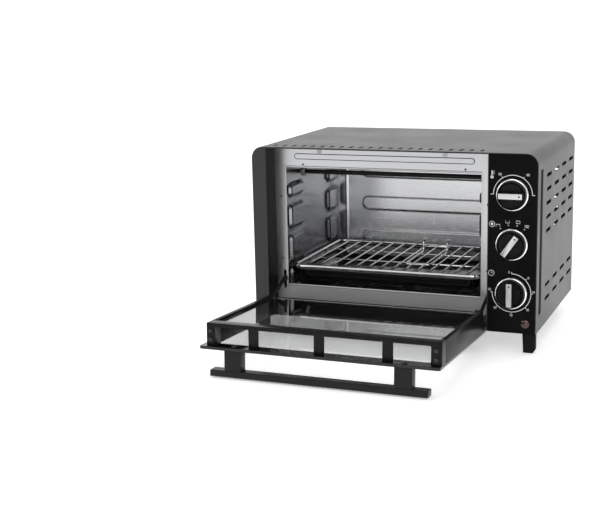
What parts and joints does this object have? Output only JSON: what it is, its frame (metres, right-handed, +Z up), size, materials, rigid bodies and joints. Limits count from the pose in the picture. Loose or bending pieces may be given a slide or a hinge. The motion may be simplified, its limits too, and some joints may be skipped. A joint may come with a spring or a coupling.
{
  "type": "toaster oven",
  "caption": "Countertop mini toaster oven with an open drop-down double-glazed door, rotary controls, wire rack, baking tray and wire lifting handle.",
  "frame": {"origin": "middle of the footprint of the oven with its door open, on the table", "axes": "+X to the oven's right as seen from the front, +Y towards the back, +Z up"},
  "size_m": [0.4, 0.4945, 0.264],
  "materials": {
    "charcoal_paint": "satin",
    "galvanised": "satin",
    "black_plastic": "matte",
    "bright_steel": "satin",
    "cavity_steel": "satin",
    "clear_silicone": "satin",
    "heater_black": "matte",
    "ceramic": "satin",
    "terminal_brass": "satin",
    "gloss_black": "gloss",
    "bakelite": "satin",
    "chrome": "polished",
    "lamp_red": "gloss",
    "wire_cover": "matte",
    "black_screw": "satin",
    "spring_steel": "satin",
    "tinted_glass": "gloss",
    "door_frame_paint": "satin",
    "clear_glass": "gloss",
    "handle_paint": "satin",
    "arm_black": "satin",
    "black_enamel": "gloss",
    "knob_black": "satin",
    "silver_insert": "satin"
  },
  "bodies": {
    "casing": {"outer_cover": "charcoal_paint", "front_surround": "charcoal_paint", "base_plate": "galvanised", "back_panel": "charcoal_paint", "cord_inlet": "black_plastic", "feet": "black_plastic", "wall_spacers": "black_plastic", "cavity_front": "bright_steel", "cavity_left_wall": "cavity_steel", "cavity_right_wall": "cavity_steel", "cavity_rear_wall": "cavity_steel", "cavity_roof": "cavity_steel", "cavity_floor": "cavity_steel", "door_bumpers": "clear_silicone", "upper_heaters": "heater_black", "lower_heaters": "heater_black", "heater_insulators": "ceramic", "heater_jumpers": "terminal_brass", "control_panel": "gloss_black", "control_bracket": "galvanised", "thermostat": "ceramic", "function_switch": "bakelite", "timer_movement": "galvanised", "timer_bell": "chrome", "lamp_lens": "lamp_red", "lamp_holder": "black_plastic", "terminal_block": "ceramic", "wiring": "wire_cover", "hinge_ears": "galvanised", "cover_screws": "black_screw", "left_door_spring": "spring_steel", "right_door_spring": "spring_steel"},
    "door": {"door_outer_panel": "tinted_glass", "door_left_rail": "door_frame_paint", "door_right_rail": "door_frame_paint", "door_hinge_rail": "door_frame_paint", "door_end_rail": "door_frame_paint", "door_inner_glass": "clear_glass", "door_hinge_pins": "spring_steel", "door_screws": "black_screw", "handle_bar": "handle_paint", "handle_posts": "handle_paint"},
    "left_arm": {"left_hinge_arm": "arm_black"},
    "right_arm": {"right_hinge_arm": "arm_black"},
    "temperature_control": {"temperature_knob": "knob_black", "temperature_knob_ring": "chrome", "temperature_knob_insert": "silver_insert", "temperature_shaft": "spring_steel"},
    "function_control": {"function_knob": "knob_black", "function_knob_ring": "chrome", "function_knob_insert": "silver_insert", "function_shaft": "spring_steel"},
    "timer_control": {"timer_knob": "knob_black", "timer_knob_ring": "chrome", "timer_knob_insert": "silver_insert", "timer_shaft": "spring_steel"},
    "rack": {"wire_rack": "chrome"},
    "tray": {"baking_tray": "black_enamel"},
    "lifting_handle": {"tray_handle": "chrome"}
  },
  "joints": [
    {"name": "door_hinge", "type": "hinge", "parent": "casing", "child": "door", "pos_m": [-0.0225, -0.01522, 0.0315], "axis": [-1, 0, 0], "range_deg": [0, 87], "deforming": ["left_door_spring", "right_door_spring"]},
    {"name": "left_arm_pivot", "type": "hinge", "parent": "door", "child": "left_arm", "pos_m": [-0.168, -0.04264, 0.05296], "axis": [-1, 0, 0], "range_deg": [-87, 0]},
    {"name": "right_arm_pivot", "type": "hinge", "parent": "door", "child": "right_arm", "pos_m": [0.1304, -0.04264, 0.05296], "axis": [-1, 0, 0], "range_deg": [-87, 0]},
    {"name": "temperature_knob", "type": "hinge", "parent": "casing", "child": "temperature_control", "pos_m": [0.1673, -0.02272, 0.2105], "axis": [0, 1, 0], "range_deg": [-180, 0]},
    {"name": "function_knob", "type": "hinge", "parent": "casing", "child": "function_control", "pos_m": [0.1673, -0.02272, 0.1455], "axis": [0, 1, 0], "range_deg": [-70, 10]},
    {"name": "timer_knob", "type": "hinge", "parent": "casing", "child": "timer_control", "pos_m": [0.1673, -0.02272, 0.0805], "axis": [0, 1, 0], "range_deg": [0, 270]},
    {"name": "rack_slide", "type": "slide", "parent": "casing", "child": "rack", "axis": [0, 1, 0], "range_m": [-0.15, 0]},
    {"name": "tray_slide", "type": "slide", "parent": "casing", "child": "tray", "axis": [0, 1, 0], "range_m": [-0.14, 0]},
    {"name": "lifting_handle_slide", "type": "slide", "parent": "rack", "child": "lifting_handle", "axis": [0, 1, 0], "range_m": [-0.05, 0]}
  ],
  "couplings": [
    {"joint": "left_arm_pivot", "follows": "door_hinge", "ratio": -1},
    {"joint": "right_arm_pivot", "follows": "door_hinge", "ratio": -1}
  ]
}
